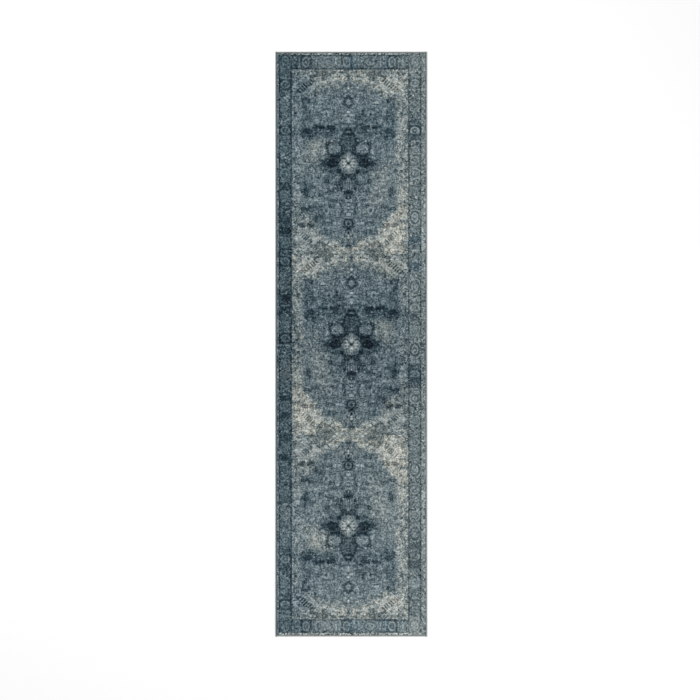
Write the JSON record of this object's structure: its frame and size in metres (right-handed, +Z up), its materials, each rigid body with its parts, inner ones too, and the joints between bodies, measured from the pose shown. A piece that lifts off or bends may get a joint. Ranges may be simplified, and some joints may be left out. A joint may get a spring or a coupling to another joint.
{
  "type": "runner rug",
  "caption": "Long narrow low-pile woven runner rug with serged edges, a patterned border and medallions down its field, lying flat.",
  "frame": {"origin": "centre of the rug's underside, on the floor", "axes": "+X to the rug's right, +Y along its length towards the head end, +Z up through the pile"},
  "size_m": [0.79, 3.045, 0.009],
  "materials": {
    "latex": "matt latex back coating over the weave, warm off-white",
    "label_cloth": "smooth white woven tape, blank",
    "ground_yarn": "plain weave of undyed cotton and jute yarn",
    "cord_yarn": "twisted undyed filler cord",
    "serging_yarn": "close wraps of blue-grey yarn",
    "guard_yarn": "short cut pile, pale blue-grey, worn",
    "border_yarn": "short cut pile, slate blue with paler rosettes and ovals in dark blocks",
    "field_yarn": "short cut pile, mottled slate blue with cream corners, worn",
    "medallion_yarn": "short cut pile, navy cross with four paler round flowers",
    "rosette_yarn": "short cut pile, pale cream flower with a dark eye"
  },
  "bodies": {
    "root": {"latex_backing": "latex", "care_label": "label_cloth", "ground_weave": "ground_yarn", "edge_cord_left": "cord_yarn", "edge_cord_right": "cord_yarn", "edge_serging_left": "serging_yarn", "edge_serging_right": "serging_yarn", "edge_serging_head": "serging_yarn", "edge_serging_foot": "serging_yarn", "guard_pile_left": "guard_yarn", "guard_pile_right": "guard_yarn", "guard_pile_head": "guard_yarn", "guard_pile_foot": "guard_yarn", "border_pile_left": "border_yarn", "border_pile_right": "border_yarn", "border_pile_head": "border_yarn", "border_pile_foot": "border_yarn", "field_pile_head": "field_yarn", "field_pile_centre": "field_yarn", "field_pile_foot": "field_yarn", "medallion_pile_head": "medallion_yarn", "medallion_pile_centre": "medallion_yarn", "medallion_pile_foot": "medallion_yarn", "rosette_pile_head": "rosette_yarn", "rosette_pile_centre": "rosette_yarn", "rosette_pile_foot": "rosette_yarn"}
  },
  "joints": []
}
